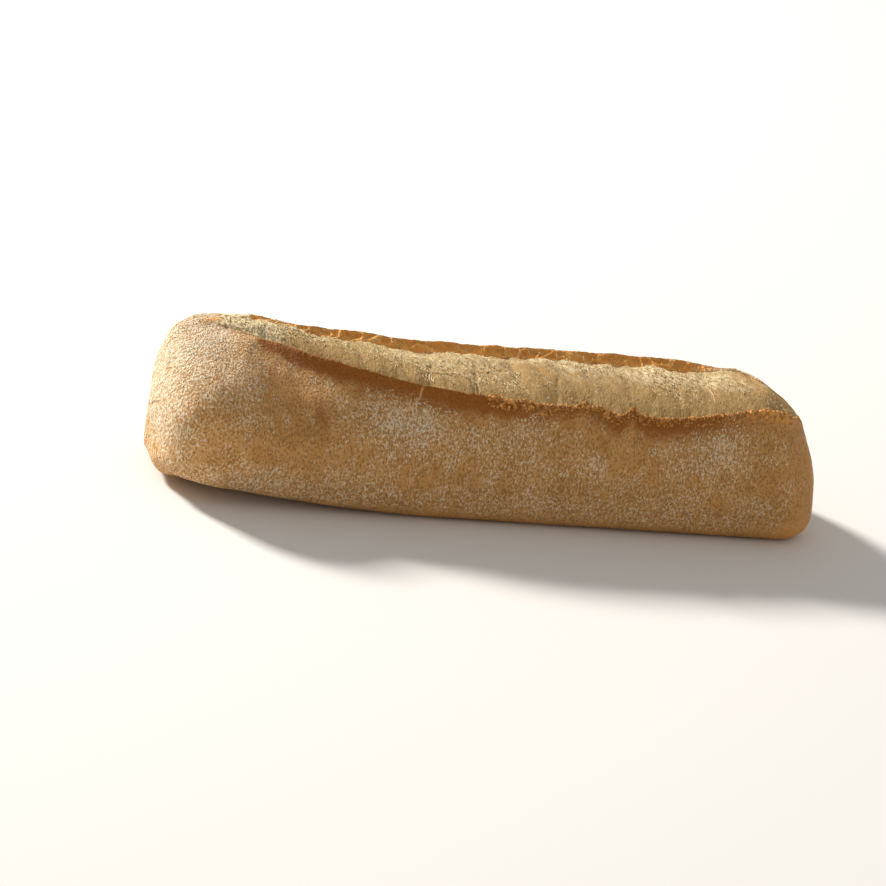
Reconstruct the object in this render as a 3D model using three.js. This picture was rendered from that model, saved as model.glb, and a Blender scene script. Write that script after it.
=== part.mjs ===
// A ciabatta roll: a long stick of bread with square, pillowy ends and a flat base,
// slashed along its top before baking. The slash has torn open: a browned ear stands along
// the front, the pale crumb wells up behind it as a dome with folds across it, and a thinner
// crust edge runs along the back.
// Millimetres, +Z up, +X along the roll, -Y the front. It stands on z = 0.

import * as THREE from "three";
import { ImprovedNoise } from "three/addons/math/ImprovedNoise.js";

// Driving dimensions of the loaf
const WIDTH = 66;
const BASE_WIDTH = 46;
const WIDEST_HEIGHT = 21;
const CORE_HEIGHT = 24;

// The two torn edges of the slash, each a row of [along X, across Y, height Z]
const EAR = [
  [-128, 5, 51.5],
  [-90, 2, 51],
  [-66, -11, 50],
  [-40, -21, 48.6],
  [0, -25, 45.6],
  [50, -26, 44.6],
  [80, -25, 46.8],
  [104, -23, 49],
  [117, -21, 46],
  [128, -16, 45],
];
const BACK_EDGE = [
  [-128, 17, 53.2],
  [-98, 21, 53.2],
  [-60, 22, 50.8],
  [-20, 22, 49],
  [30, 22, 49.8],
  [70, 22, 50.2],
  [97, 20.4, 49.2],
  [110, 15, 49.4],
  [118, 0, 48],
  [128, -3, 46],
];

// Where the slash is open, and how the crust edges stand over the crumb
const SLASH_START = [-101, -89];
const SLASH_STOP = [112, 121];
const EAR_THICKNESS = 2.6;
const EAR_STANDS = 3.2;
const EAR_LIP = 1.6;
const BACK_THICKNESS = 2.2;
const BACK_STANDS = 2.6;
const BACK_LIP = 0.8;
const CRUMB_RISE = [3, 9];
const CRUMB_SWELLS = [-78, -35];

// Each end stands at x and closes over these lengths: across at the base in front and behind, across
// at the top, top edge, base edge. It leans out below the core and in above it, with a bow.
const LEFT_END = { x: -125.5, front: 13, behind: 31, high: 46, top: 11, bottom: 6, lean: 0.6, bow: -1.6 };
const RIGHT_END = { x: 127.2, front: 22, behind: 22, high: 27, top: 13, bottom: 16, lean: 5.6, bow: 2 };
const LEAN_OVER = 40;
const PLAN_ROUNDNESS = 2.5;
const EDGE_ROUNDNESS = 2.7;
const LEFT_LIFT = { height: 8, from: -25, power: 1.7 };

// Folds and tears across the crumb: place along X, slant along X from front to back, width, height
const FOLDS = [
  { at: -31, slant: -9, width: 3.2, height: 0.6 },
  { at: -19, slant: -7, width: 3.0, height: 0.8 },
  { at: -2, slant: -5, width: 3.2, height: 0.6 },
  { at: 13, slant: -11, width: 4.2, height: 1.3 },
  { at: 40, slant: -12, width: 3.4, height: 0.4 },
  { at: 58, slant: -16, width: 3.8, height: 0.6 },
  { at: 74, slant: -18, width: 3.4, height: 0.5 },
  { at: 90, slant: -18, width: 3.4, height: 0.4 },
];

// Flakes and notches along the ear: place along X, half width, height
const FLAKES = [
  { at: 4, half: 4, height: 1.1 },
  { at: 36, half: 5, height: 1.5 },
  { at: 46, half: 4, height: -0.9 },
  { at: 53, half: 4, height: 1.2 },
  { at: 92, half: 8, height: 0.9 },
];

// Unevenness of the baked dough: size of the lumps and how far they stand
const LUMP = { size: 34, height: 0.9 };
const BLISTER = { size: 12, height: 0.45 };
const CRUMB_GRAIN = { along: 8, across: 18, height: 0.5 };
const RAGGED = { size: 6, height: 0.8 };

// Facets: steps along each stretch of a section, and stations along the roll
const STEPS = { lower: 5, upper: 10, rim: 3, crumb: 15, base: 3 };
const END_STATIONS = 13;
const BODY_STATIONS = 72;

const CRUST_COLOUR = 0xb98a50;

const { smoothstep, lerp, clamp } = THREE.MathUtils;
const noise = new ImprovedNoise();

// A smooth curve through rows of [along X, values...], read at any x.
function rail(rows) {
  const across = rows[0].length - 1;
  const places = new Float32Array(rows.map((row) => row[0]));
  const values = new Float32Array(rows.flatMap((row) => row.slice(1)));
  const curve = new THREE.CubicInterpolant(places, values, across);
  return (x) => new THREE.Vector2(...curve.evaluate(x));
}

const earAt = rail(EAR);
const backEdgeAt = rail(BACK_EDGE);

// The slash's openness at x: 0 on whole crust, 1 where it has torn right open.
function openness(x) {
  return smoothstep(x, ...SLASH_START) * (1 - smoothstep(x, ...SLASH_STOP));
}

// The torn rim's own height: a ragged line with a few flakes and notches.
function raggedRim(x, row) {
  const fine = noise.noise(x / RAGGED.size, row, 0) * RAGGED.height;
  const flakes = FLAKES.reduce(
    (sum, flake) => sum + flake.height * Math.exp(-(((x - flake.at) / flake.half) ** 2)),
    0,
  );
  return openness(x) * (fine + (row === 0 ? flakes : 0));
}

// Points along a cubic curve, without its last point.
function stretch(from, lead, trail, to, steps) {
  const curve = new THREE.CubicBezierCurve(from, lead, trail, to);
  return curve.getPoints(steps).slice(0, steps);
}

// One closed section across the roll at x, as points (across Y, height Z) that run from the
// front of the base, up the front, over the slash and down the back. Each point also says
// how much of it is crumb.
function sectionAt(x) {
  const at = (y, z) => new THREE.Vector2(y, z);
  const half = WIDTH / 2;
  const foot = BASE_WIDTH / 2;
  const turn = foot + 0.85 * (half - foot);
  const open = openness(x);
  const earLip = open * EAR_LIP + raggedRim(x, 0);
  const backLip = open * BACK_LIP + raggedRim(x, 7);
  const ear = earAt(x).sub(at(0, open * EAR_LIP));
  const back = backEdgeAt(x).sub(at(0, open * BACK_LIP));
  const turnedUp = (points, lip, from) => points.map((point, i) => (
    at(point.x, point.y + lip * smoothstep(i / points.length, from, 1) ** 2)
  ));

  const shoulder = 1 - smoothstep(x, -98, -40);
  const earWay = at(lerp(0.4, 1, shoulder), lerp(1, 0.1, shoulder));
  const earLead = ear.clone().addScaledVector(earWay, -lerp(10, 18, shoulder));
  const earTop = ear.clone().add(at(0, earLip));
  const backTop = back.clone().add(at(0, backLip));
  const earRoot = ear.clone().add(at(EAR_THICKNESS, (EAR_LIP - EAR_STANDS) * open));
  const backRoot = back.clone().add(at(-BACK_THICKNESS, (BACK_LIP - BACK_STANDS) * open));
  const span = back.x - ear.x;
  const rise = lerp(...CRUMB_RISE, smoothstep(x, ...CRUMB_SWELLS)) * (1 - 0.5 * smoothstep(x, 96, 118));

  const lowerFront = stretch(
    at(-foot, 0), at(-turn, 0), at(-half, 0.45 * WIDEST_HEIGHT), at(-half, WIDEST_HEIGHT), STEPS.lower,
  );
  const upperFront = turnedUp(stretch(
    at(-half, WIDEST_HEIGHT), at(-half, lerp(WIDEST_HEIGHT, ear.y, 0.52)), earLead, ear, STEPS.upper,
  ), earLip, 0.6);
  const earRim = stretch(
    earTop, earTop.clone().add(at(0.9, 0.5 * open)),
    earRoot.clone().add(at(-0.5, 0.5 * EAR_STANDS * open)), earRoot, STEPS.rim,
  );
  const crumbLead = at(lerp(0.34, 0.1, open) * span, lerp(0.04 * span, rise, open));
  const crumb = stretch(
    earRoot, earRoot.clone().add(crumbLead),
    backRoot.clone().add(at(-0.35 * span, 0.35 * rise * open)), backRoot, STEPS.crumb,
  );
  const backRim = stretch(
    backRoot, backRoot.clone().add(at(0.3, 1.3 * open)),
    backTop.clone().add(at(-1, 0.3 * open)), backTop, STEPS.rim,
  );
  const upperBack = turnedUp(stretch(
    at(half, WIDEST_HEIGHT), at(half, lerp(WIDEST_HEIGHT, back.y, 0.6)), back.clone().add(at(7, -0.6)), back,
    STEPS.upper,
  ), backLip, 0.6);
  const lowerBack = stretch(
    at(half, WIDEST_HEIGHT), at(half, 0.45 * WIDEST_HEIGHT), at(turn, 0), at(foot, 0), STEPS.lower,
  );
  const base = stretch(at(foot, 0), at(foot / 3, 0), at(-foot / 3, 0), at(-foot, 0), STEPS.base);

  const top = [...upperFront, ...earRim, ...crumb, ...backRim, backTop, ...upperBack.slice(1).reverse()];
  const firstCrumb = STEPS.upper + STEPS.rim;
  const entry = (point, i) => {
    const across = clamp((i - firstCrumb) / STEPS.crumb, 0, 1);
    return { point, across, crumb: open * Math.sin(Math.PI * across) ** 0.5 };
  };
  const plain = (point) => ({ point, across: 0, crumb: 0 });
  return [...lowerFront.map(plain), ...top.map(entry), ...lowerBack.map(plain), ...base.map(plain)];
}

// How much a point of a section is drawn in towards the core, d from an end: 1 is not at all.
function drawnIn(d, over, roundness) {
  const near = clamp(1 - d / over, 0, 1);
  return (1 - near ** roundness) ** (1 / roundness);
}

// A section's point in space, with the ends closed round and the left end lifted off the base.
function placed(x, { point }) {
  const high = clamp(point.y / EAR[0][2], 0, 1);
  const upper = point.y > CORE_HEIGHT;
  const [fromLeft, fromRight] = [x - LEFT_END.x, RIGHT_END.x - x];
  const low = point.x < 0 ? "front" : "behind";
  const across = (end, d) => drawnIn(d, lerp(end[low], end.high, high), PLAN_ROUNDNESS);
  const up = (end, d) => drawnIn(d, upper ? end.top : end.bottom, EDGE_ROUNDNESS);
  const offCore = (point.y - CORE_HEIGHT) * up(LEFT_END, fromLeft) * up(RIGHT_END, fromRight);
  const leaning = (end, d) => {
    const share = offCore / CORE_HEIGHT;
    return (end.lean * share + end.bow * share * share) * (1 - smoothstep(d, 0, LEAN_OVER));
  };
  const { height, from, power } = LEFT_LIFT;
  const lift = height * clamp((from - x) / (from - LEFT_END.x), 0, 1) ** power;
  return new THREE.Vector3(
    x + leaning(LEFT_END, fromLeft) - leaning(RIGHT_END, fromRight),
    point.x * across(LEFT_END, fromLeft) * across(RIGHT_END, fromRight),
    CORE_HEIGHT + offCore + lift * (1 - high),
  );
}

// Places of the stations along X: close together where an end turns, even along the body.
function stationPlaces() {
  const inFrom = ({ top }) => Array.from({ length: END_STATIONS }, (_, i) => {
    const share = ((i + 1) / END_STATIONS) ** EDGE_ROUNDNESS;
    return top * (1 - (1 - share) ** (1 / EDGE_ROUNDNESS));
  });
  const body = Array.from(
    { length: BODY_STATIONS },
    (_, i) => lerp(LEFT_END.x + LEFT_END.top, RIGHT_END.x - RIGHT_END.top, (i + 1) / (BODY_STATIONS + 1)),
  );
  return [
    ...inFrom(LEFT_END).map((d) => LEFT_END.x + d),
    ...body,
    ...inFrom(RIGHT_END).map((d) => RIGHT_END.x - d).reverse(),
  ];
}

// How far the surface stands off the smooth form: lumps and blisters on the crust, and folds
// with a stretched grain on the crumb. The base stays flat.
function relief(place, { crumb, across }) {
  const { x, y, z } = place;
  const offBase = smoothstep(z, 1, 8);
  const lumps = LUMP.height * noise.noise(x / LUMP.size, y / LUMP.size, z / LUMP.size);
  const blisters = BLISTER.height * noise.noise(x / BLISTER.size, y / BLISTER.size, z / BLISTER.size + 9);
  const grain = CRUMB_GRAIN.height * noise.noise(x / CRUMB_GRAIN.along, y / CRUMB_GRAIN.across, 4);
  const folds = FOLDS.reduce((sum, fold) => {
    const offset = (x - fold.at - fold.slant * (0.5 - across)) / fold.width;
    return sum + fold.height * Math.exp(-offset * offset);
  }, 0);
  return offBase * (lumps + (1 - crumb) * blisters) + crumb * (grain + folds);
}

// The roll's closed surface: a skin over the stations, with one point closing each end.
function rollGeometry() {
  const places = stationPlaces();
  const sections = places.map(sectionAt);
  const around = sections[0].length;
  const grid = sections.map((section, i) => section.map((entry) => placed(places[i], entry)));
  const wrap = (i) => (i + around) % around;

  const points = grid.map((row, i) => row.map((place, j) => {
    const before = grid[Math.max(i - 1, 0)][j];
    const after = grid[Math.min(i + 1, grid.length - 1)][j];
    const along = after.clone().sub(before);
    const over = row[wrap(j + 1)].clone().sub(row[wrap(j - 1)]);
    const normal = along.cross(over).normalize();
    return place.clone().addScaledVector(normal, relief(place, sections[i][j]));
  }));

  const flat = points.flat();
  const positions = flat.flatMap((point) => point.toArray());
  const index = [];
  const id = (i, j) => i * around + wrap(j);
  for (let i = 0; i + 1 < grid.length; i += 1) {
    for (let j = 0; j < around; j += 1) {
      const [a, b, c, d] = [id(i, j), id(i + 1, j), id(i + 1, j + 1), id(i, j + 1)];
      const apart = (p, q) => flat[p].distanceToSquared(flat[q]);
      index.push(...(apart(a, c) < apart(b, d) ? [a, b, c, a, c, d] : [a, b, d, b, c, d]));
    }
  }
  const left = flat.length;
  const right = left + 1;
  positions.push(LEFT_END.x, 0, CORE_HEIGHT, RIGHT_END.x, 0, CORE_HEIGHT);
  for (let j = 0; j < around; j += 1) {
    index.push(left, id(0, j), id(0, j + 1));
    index.push(right, id(grid.length - 1, j + 1), id(grid.length - 1, j));
  }

  const geometry = new THREE.BufferGeometry();
  geometry.setAttribute("position", new THREE.Float32BufferAttribute(positions, 3));
  geometry.setIndex(index);
  geometry.computeVertexNormals();
  return geometry;
}

// The origin is under the middle of the roll's box, on the surface that it stands on.
function onItsBase(geometry) {
  geometry.computeBoundingBox();
  const { min, max } = geometry.boundingBox;
  return geometry.translate(-(min.x + max.x) / 2, -(min.y + max.y) / 2, -min.z);
}

const crust = new THREE.MeshStandardMaterial({ color: CRUST_COLOUR, roughness: 0.85, metalness: 0 });
const loaf = new THREE.Mesh(onItsBase(rollGeometry()), crust);
loaf.name = "loaf";

const roll = new THREE.Group();
roll.add(loaf);

export default roll;
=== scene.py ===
# A ciabatta roll: a long stick of wheat bread, slashed along its top and baked until the slash tore open.
# Sizes are in millimetres and are turned to metres where a mesh is made. The frame is the part's own:
# +X along the roll, -Y its front, +Z up, standing on z = 0.

import math

import bpy
import numpy as np
from mathutils import Matrix, Vector, noise


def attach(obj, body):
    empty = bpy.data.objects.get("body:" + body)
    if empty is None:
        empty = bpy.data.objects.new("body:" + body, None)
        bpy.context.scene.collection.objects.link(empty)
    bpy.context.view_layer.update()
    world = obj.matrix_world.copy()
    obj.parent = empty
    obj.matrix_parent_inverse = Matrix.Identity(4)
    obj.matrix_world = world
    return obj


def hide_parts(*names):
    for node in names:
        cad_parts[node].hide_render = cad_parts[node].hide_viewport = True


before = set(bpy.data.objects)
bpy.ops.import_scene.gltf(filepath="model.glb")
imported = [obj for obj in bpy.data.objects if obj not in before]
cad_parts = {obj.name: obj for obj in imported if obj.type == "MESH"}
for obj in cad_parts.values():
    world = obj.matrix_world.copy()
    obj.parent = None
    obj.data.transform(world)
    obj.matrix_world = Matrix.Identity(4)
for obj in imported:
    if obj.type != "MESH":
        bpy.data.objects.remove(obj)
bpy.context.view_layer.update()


# The loaf: wheat dough shaped into a stick, slashed, proved and baked on a flat stone. In the oven the
# slash tears: a browned ear stands along the front, the crumb wells up behind it in folds, and a thin
# crust edge runs along the back. It is one closed skin drawn over sections across the stick.

# Each end stands at x. It closes across in front and behind (over this length low and high, roundness) and
# up and down (over this length, roundness), and it leans and bows as it leaves the core.
LEFT_END = dict(
    x=-125.6, front=(21, 47, 2.8), behind=(51, 41.5, 2.4), top=(15.7, 2.15), bottom=(6.9, 3),
    lean=-0.9, bow=-0.75)
RIGHT_END = dict(
    x=127.8, front=(22, 27, 2.5), behind=(22, 27, 2.5), top=(13, 2.7), bottom=(16, 2.7), lean=5.6, bow=2)

# Stations along X: close together where an end turns, even along the body
END_STATIONS, STATION_CROWD, BODY_STEP = 26, 2.7, 0.4
crowded = ((np.arange(END_STATIONS) + 1) / END_STATIONS) ** STATION_CROWD
crowded = 1 - (1 - crowded) ** (1 / STATION_CROWD)
left_x = LEFT_END["x"] + LEFT_END["top"][0] * crowded
right_x = RIGHT_END["x"] - RIGHT_END["top"][0] * crowded[::-1]
body_x = np.linspace(left_x[-1], right_x[0], round((right_x[0] - left_x[-1]) / BODY_STEP))[1:-1]
x = np.concatenate([left_x, body_x, right_x])


def smooth(x, low, high):
    """0 below low, 1 above high and an even S between them."""
    share = np.clip((x - low) / (high - low), 0, 1)
    return share * share * (3 - 2 * share)


def mix(a, b, share):
    return a + (b - a) * share


# How far the slash is open along X, from 0 to 1. The ear begins a little later than the tear behind it.
SLASH_START, SLASH_STOP, EAR_START = (-101, -89), (112, 121), (-91.5, -88)
slash_open = smooth(x, *SLASH_START) * (1 - smooth(x, *SLASH_STOP))
ear_open = smooth(x, *EAR_START) * (1 - smooth(x, *SLASH_STOP))

# The two edges of the slash: along X, across Y, height Z
EAR = [
    (-128, 5, 51.5), (-90, 2, 51), (-66, -11, 50), (-40, -21, 48.6), (0, -25, 45.6),
    (50, -26, 44.6), (80, -25, 46.8), (104, -23, 49), (117, -21, 46), (128, -16, 45),
]
BACK_EDGE = [
    (-128, 17, 53.2), (-98, 21, 53.2), (-80, 22, 52.3), (-68, 22, 51), (-50, 22, 50.5), (-20, 22, 49),
    (30, 22, 49.8), (70, 22, 50.2), (97, 21.5, 48.6), (108, 19, 49), (116, 9, 48.9), (122, -4, 47),
    (128, -8, 45.5),
]


def rail(rows):
    """A smooth curve through rows of (along X, values...), read at many x at once."""
    rows = np.array(rows, float)
    places, values = rows[:, 0], rows[:, 1:]
    secants = np.diff(values, axis=0) / np.diff(places)[:, None]
    tangents = np.zeros_like(values)
    tangents[1:-1] = (secants[:-1] + secants[1:]) / 2

    def read(x):
        i = np.clip(np.searchsorted(places, x) - 1, 0, len(places) - 2)
        step = (places[i + 1] - places[i])[:, None]
        t = (x - places[i])[:, None] / step
        return (
            values[i] * (2 * t**3 - 3 * t**2 + 1) + values[i + 1] * (3 * t**2 - 2 * t**3)
            + step * (tangents[i] * (t**3 - 2 * t**2 + t) + tangents[i + 1] * (t**3 - t**2))
        )
    return read


# The torn rims are ragged, and they have a few flakes and notches: place along X, half width, height
EAR_FLAKES = [
    (-10, 1.6, 0.8), (1, 3, 0.8), (14, 4, 0.5), (19, 6, 1.0), (23.2, 2.6, 2.6), (29, 5, 2.0),
    (37.8, 1.4, -0.8), (42.8, 2.2, 3.0), (60, 9, -0.4), (92, 9, 0.8), (110, 2.5, 0.6),
]
BACK_FLAKES = [(-89, 6, 1.0), (-12, 5, 0.5)]
RAGGED = [(7, 0.4), (2.4, 0.25), (1.0, 0.1)]  # size of the teeth along the rim, height
SEEDS_APART = 31.7  # how far apart two seeds lie in the noise


def lumps(points, size, seed):
    """Soft noise from -1 to 1 at points in mm, in lumps of that size, or of one size for each axis."""
    scaled = (points / np.asarray(size, float) + SEEDS_APART * seed).reshape(-1, 3)
    return np.array([noise.noise(p) for p in scaled.tolist()]).reshape(points.shape[:-1])


def ragged_line(size, seed):
    """Soft noise along X alone, one value for each station."""
    return lumps(np.stack([x, np.zeros_like(x), np.zeros_like(x)], -1), size, seed)


def teeth(seed, flakes):
    """How far a torn rim stands above its smooth line."""
    ragged = sum(height * ragged_line(size, seed + i) for i, (size, height) in enumerate(RAGGED))
    return ragged + sum(height * np.exp(-((x - place) / wide) ** 2) for place, wide, height in flakes)


def pair(across, up):
    """Points (across Y, height Z), one for each station."""
    return np.stack(np.broadcast_arrays(across, up, x)[:2], -1).astype(float)


# The edges with their rims: a rim stands on a root inside the slash and curls up to a thin lip
EAR_THICKNESS, EAR_STANDS, EAR_LIP = 2.6, (1.2, 3.2), 1.6
BACK_THICKNESS, BACK_STANDS, BACK_LIP, BACK_THINS = 3.4, (0.6, 3.4), 0.8, (78, 102)
EDGES_DEEPEN, BACK_UNEVEN, BACK_WAVES = (-96, -48), 0.25, 5
deepened = smooth(x, *EDGES_DEEPEN)
back_thin = smooth(x, *BACK_THINS)
back_high = 1 - back_thin
ear = rail(EAR)(x) - pair(0, slash_open * EAR_LIP)
back = rail(BACK_EDGE)(x) - pair(0, slash_open * BACK_LIP * back_high)
ear_lip = slash_open * EAR_LIP + ear_open * teeth(1, EAR_FLAKES)
back_lip = slash_open * (BACK_LIP + teeth(7, BACK_FLAKES)) * back_high
ear_top, back_top = ear + pair(0, ear_lip), back + pair(0, back_lip)
ear_stands = ear_open * mix(*EAR_STANDS, deepened)
back_uneven = 1 + BACK_UNEVEN * ragged_line(BACK_WAVES, 21)
back_stands = slash_open * mix(*BACK_STANDS, deepened) * back_uneven * back_high
span = back[:, 0] - ear[:, 0]
climb = (1 - slash_open) * (back[:, 1] - ear[:, 1]) / span  # how steeply the closed top rises to the back
ear_root = ear + pair(EAR_THICKNESS, slash_open * EAR_LIP - ear_stands + climb * EAR_THICKNESS)
back_root = back + pair(-BACK_THICKNESS, slash_open * BACK_LIP * back_high - back_stands)

# The crumb swells out of the slash and settles towards its right end
CRUMB_RISE, CRUMB_SWELLS, CRUMB_SETTLES, CRUMB_SINKS = (3, 6), (-84, -45), (90, 116), 0.5
CRUMB_FRONT_STEEP, CRUMB_EVEN, CRUMB_BACK_FULL = 0.15, 0.34, 0.4
crumb_span = back_root[:, 0] - ear_root[:, 0]
rise = mix(*CRUMB_RISE, smooth(x, *CRUMB_SWELLS)) * (1 - CRUMB_SINKS * smooth(x, *CRUMB_SETTLES))
crumb_lead = ear_root + pair(
    mix(CRUMB_EVEN * crumb_span, CRUMB_FRONT_STEEP * span, slash_open),
    mix(CRUMB_EVEN * crumb_span * climb, rise, slash_open))
crumb_trail = back_root + pair(
    -CRUMB_EVEN * mix(crumb_span, span, slash_open), CRUMB_BACK_FULL * rise * slash_open)

# The sides bulge from a flat base to the widest height. Left of the slash the front rolls over in a shoulder
# that joins the top.
WIDTH, BASE_WIDTH, WIDEST_HEIGHT = 66.0, 46.0, 21.0
HEEL_SQUARE, HEEL_HEIGHT, FRONT_BULGE, BACK_BULGE = 0.85, 0.45, (0.52, 0.3), 0.6
SHOULDER, SHOULDER_SLOPE, EAR_LEANS_OUT, FRONT_REACH = (-99, -76), 0.1, (-21, -2), (10, 18)
BACK_LEAD, BACK_LEAD_THIN = (7, -0.6), (2.5, -1.6)  # across Y and up Z from the back edge
half_width, foot = WIDTH / 2, BASE_WIDTH / 2
heel = foot + HEEL_SQUARE * (half_width - foot)
low_side = HEEL_HEIGHT * WIDEST_HEIGHT
shoulder = 1 - smooth(x, *SHOULDER)
front_foot, front_side = pair(-foot, 0), pair(-half_width, WIDEST_HEIGHT)
back_foot, back_side = pair(foot, 0), pair(half_width, WIDEST_HEIGHT)
front_way = (ear - front_side) / np.linalg.norm(ear - front_side, axis=1)[:, None]
ear_way = pair(
    mix(front_way[:, 0], 1, shoulder), mix(front_way[:, 1], SHOULDER_SLOPE + climb, shoulder))
ear_lead = ear - ear_way * mix(*FRONT_REACH, shoulder)[:, None]
front_bulge = mix(*FRONT_BULGE, smooth(ear[:, 0], *EAR_LEANS_OUT) * (1 - shoulder))
back_lead = back + pair(*(mix(full, thin, back_thin) for full, thin in zip(BACK_LEAD, BACK_LEAD_THIN)))

# Points along each stretch of a section, in order round it from the base's front edge
STEPS = dict(lower_front=10, front=30, ear_rim=10, crumb=58, back_rim=12, back=18, lower_back=8, base=16)
SIDE_CROWD, CURL_FROM = 1.3, 0.6
EAR_OVER, EAR_UP, EAR_IN = 0.9, 0.5, 0.5  # how the ear's rim rounds over and comes down inside the slash
BACK_LEAN, BACK_RISE, BACK_OVER, BACK_ROUND = 0.3, 1.3, 1, 0.3  # the same for the back edge, from its root up


def along_stretch(name):
    """How far each point lies along its stretch, from 0 to nearly 1."""
    return np.arange(STEPS[name]) / STEPS[name]


def stretch(name, start, lead, trail, end, crowd=1.0):
    """Points along one cubic curve for each station, without its last. Crowd packs them to the end."""
    t = (1 - (1 - along_stretch(name)) ** crowd)[None, :, None]
    start, lead, trail, end = (p[:, None, :] for p in (start, lead, trail, end))
    return (1 - t)**3 * start + 3 * t * (1 - t)**2 * lead + 3 * t**2 * (1 - t) * trail + t**3 * end


stretches = dict(
    lower_front=stretch("lower_front", front_foot, pair(-heel, 0), pair(-half_width, low_side), front_side),
    front=stretch(
        "front", front_side, pair(-half_width, mix(WIDEST_HEIGHT, ear[:, 1], front_bulge)), ear_lead, ear,
        SIDE_CROWD),
    ear_rim=stretch(
        "ear_rim", ear_top, ear_top + pair(EAR_OVER, EAR_UP * ear_open + EAR_OVER * climb),
        ear_root + pair(-EAR_IN, EAR_UP * ear_stands - EAR_IN * climb), ear_root),
    crumb=stretch("crumb", ear_root, crumb_lead, crumb_trail, back_root),
    back_rim=stretch(
        "back_rim", back_root, back_root + pair(BACK_LEAN, BACK_RISE * slash_open),
        back_top + pair(-BACK_OVER, BACK_ROUND * slash_open), back_top),
    back=stretch(
        "back", back_side, pair(half_width, mix(WIDEST_HEIGHT, back[:, 1], BACK_BULGE)), back_lead, back,
        SIDE_CROWD),
    lower_back=stretch("lower_back", back_side, pair(half_width, low_side), pair(heel, 0), back_foot),
    base=stretch("base", back_foot, pair(foot / 3, 0), pair(-foot / 3, 0), front_foot),
)

# The last two fifths of each side curl up to its torn rim. The back is drawn upwards and then turned round.
for name, side_lip in (("front", ear_lip), ("back", back_lip)):
    stretches[name][..., 1] += side_lip[:, None] * smooth(along_stretch(name), CURL_FROM, 1) ** 2
stretches["back"] = np.concatenate([back_top[:, None], stretches["back"][:, :0:-1]], 1)

# One row of points for each station, and which of its points belong to which stretch
section = np.concatenate([stretches[name] for name in STEPS], 1)
where = dict(zip(STEPS, np.split(np.arange(section.shape[1]), np.cumsum(list(STEPS.values()))[:-1])))

CORE_HEIGHT, LEAN_OVER = 24.0, 40
LIFT_HEIGHT, LIFT_FROM, LIFT_POWER, LIFT_BEHIND, LIFT_EASES = 8.7, -25, 1.7, 0.43, (-22, -10)


def drawn_in(d, over, roundness):
    """How much a point is drawn in towards the core, d from an end: 1 is not at all."""
    return (1 - np.clip(1 - d / over, 0, 1) ** roundness) ** (1 / roundness)


def placed(section):
    """The sections in space, with the ends closed round the core and the left end lifted off the base."""
    y, z = section[..., 0], section[..., 1]
    high = np.clip(z / EAR[0][2], 0, 1)
    along = np.broadcast_to(x[:, None], y.shape)
    ends = (LEFT_END, along - LEFT_END["x"]), (RIGHT_END, RIGHT_END["x"] - along)
    across, up, leans = 1, 1, []
    for end, d in ends:
        plan = [np.reshape(end[side], (3, 1, 1)) for side in ("front", "behind")]
        low, top, plan_roundness = np.where(y[None] < 0, *plan)
        profile = [np.reshape(end[side], (2, 1, 1)) for side in ("top", "bottom")]
        over, roundness = np.where(z[None] > CORE_HEIGHT, *profile)
        across = across * drawn_in(d, mix(low, top, high), plan_roundness)
        up = up * drawn_in(d, over, roundness)
    off_core = (z - CORE_HEIGHT) * up
    share = off_core / CORE_HEIGHT
    for end, d in ends:
        leans.append((end["lean"] * share + end["bow"] * share**2) * (1 - smooth(d, 0, LEAN_OVER)))
    lift = LIFT_HEIGHT * np.clip((LIFT_FROM - along) / (LIFT_FROM - LEFT_END["x"]), 0, 1) ** LIFT_POWER
    lift = lift * (1 - high) * mix(1, LIFT_BEHIND, smooth(y, *LIFT_EASES))
    return np.stack([along + leans[0] - leans[1], y * across, CORE_HEIGHT + off_core + lift], -1)


def normals(grid):
    over = np.roll(grid, -1, 1) - np.roll(grid, 1, 1)
    normal = np.cross(np.gradient(grid, axis=0), over)
    return normal / np.maximum(np.linalg.norm(normal, axis=-1, keepdims=True), 1e-9)


grid = placed(section)
facing = normals(grid)
X, Y, Z = grid[..., 0], grid[..., 1], grid[..., 2]


def on(name, values):
    """Values on one stretch, and 0 on all the others."""
    field = np.zeros(grid.shape[:2])
    field[:, where[name]] = values
    return field


def lumpy(layers):
    """Layers of soft noise on the loaf: size of the lumps, height, seed."""
    return sum(height * lumps(grid, size, seed) for size, height, seed in layers)


def patches(rows, beside, edge=2):
    """Soft patches: middle along X and along beside, half length, half width, strength."""
    return sum(
        strength * np.exp(-(((X - at) / long) ** edge) - ((beside - off) / wide) ** edge)
        for at, off, long, wide, strength in rows)


# The tear: its left end runs slantwise from the ear's start back to the far edge, where the crumb comes over
# the edge. Across is 0 at the ear and 1 at the back edge, and torn is 1 on open crumb.
TEAR_LEFT, TEAR_BELLY, TEAR_RIGHT, TEAR_EDGE = (-89, -101), 9, (122, 116), 1
TEAR_FRAY = [((2.2, 3, 3), 1.2, 11), (1.0, 0.72, 12)]
EAR_CRUST, BACK_CRUST = (0.55, 1.0), (0.0, 0.6)  # share of each rim over which its crust gives way to crumb
BACK_CRUSTED, BARE_DOWN = (-93, -86), (0.05, 0.2)  # along X, and how far down the back it is bare before that
rim = where["back_rim"]
across = on("crumb", along_stretch("crumb"))
across[:, rim[0]:where["lower_back"][0]] = 1
frayed = X + lumpy(TEAR_FRAY)
tear_left = mix(*TEAR_LEFT, across) - TEAR_BELLY * np.sin(np.pi * across)
tear_right = mix(*TEAR_RIGHT, across)
open_here = smooth(frayed, tear_left - TEAR_EDGE, tear_left + TEAR_EDGE)
open_here *= 1 - smooth(frayed, tear_right - TEAR_EDGE, tear_right + TEAR_EDGE)
crusted = smooth(X, *BACK_CRUSTED)
bare_back = (1 - smooth(along_stretch("back"), *BARE_DOWN)) * (1 - crusted)[:, where["back"]]
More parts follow.
